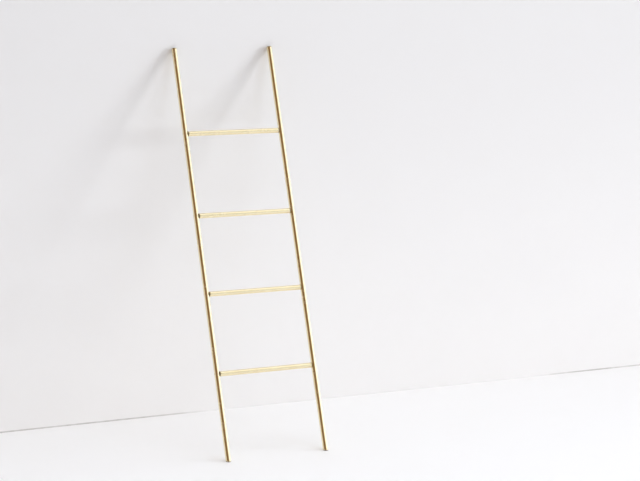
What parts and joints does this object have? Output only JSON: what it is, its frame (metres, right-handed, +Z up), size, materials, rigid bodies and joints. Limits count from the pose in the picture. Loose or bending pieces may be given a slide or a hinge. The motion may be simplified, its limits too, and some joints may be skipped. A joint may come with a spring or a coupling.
{
  "type": "quilt ladder",
  "caption": "Brass tube quilt ladder with round rungs that leans on a wall, with push-in feet, caps and wall bumpers.",
  "frame": {"origin": "centre of the base of the whole ladder's bounding box, on the floor", "axes": "+X along the wall, from the left stile to the right stile; +Y horizontally into the wall that the ladder leans on; +Z up"},
  "size_m": [0.472, 0.7206, 1.6631],
  "materials": {
    "tube_brass": "polished brass tube with fine drawing lines and a light, even tarnish",
    "turned_brass": "turned and polished brass with fine concentric lines",
    "screw_brass": "plain brass screw, slightly darker than the tubes",
    "foot_rubber": "matt taupe non-slip rubber",
    "bumper_silicone": "milky soft silicone"
  },
  "bodies": {
    "root": {"left_stile": "tube_brass", "right_stile": "tube_brass", "rung_1": "tube_brass", "rung_2": "tube_brass", "rung_3": "tube_brass", "rung_4": "tube_brass", "rung_1_left_plug": "turned_brass", "rung_1_right_plug": "turned_brass", "rung_2_left_plug": "turned_brass", "rung_2_right_plug": "turned_brass", "rung_3_left_plug": "turned_brass", "rung_3_right_plug": "turned_brass", "rung_4_left_plug": "turned_brass", "rung_4_right_plug": "turned_brass", "rung_1_left_screw": "screw_brass", "rung_1_right_screw": "screw_brass", "rung_2_left_screw": "screw_brass", "rung_2_right_screw": "screw_brass", "rung_3_left_screw": "screw_brass", "rung_3_right_screw": "screw_brass", "rung_4_left_screw": "screw_brass", "rung_4_right_screw": "screw_brass", "left_stile_cap": "turned_brass", "right_stile_cap": "turned_brass", "left_foot": "foot_rubber", "right_foot": "foot_rubber", "left_wall_bumper": "bumper_silicone", "right_wall_bumper": "bumper_silicone"}
  },
  "joints": []
}
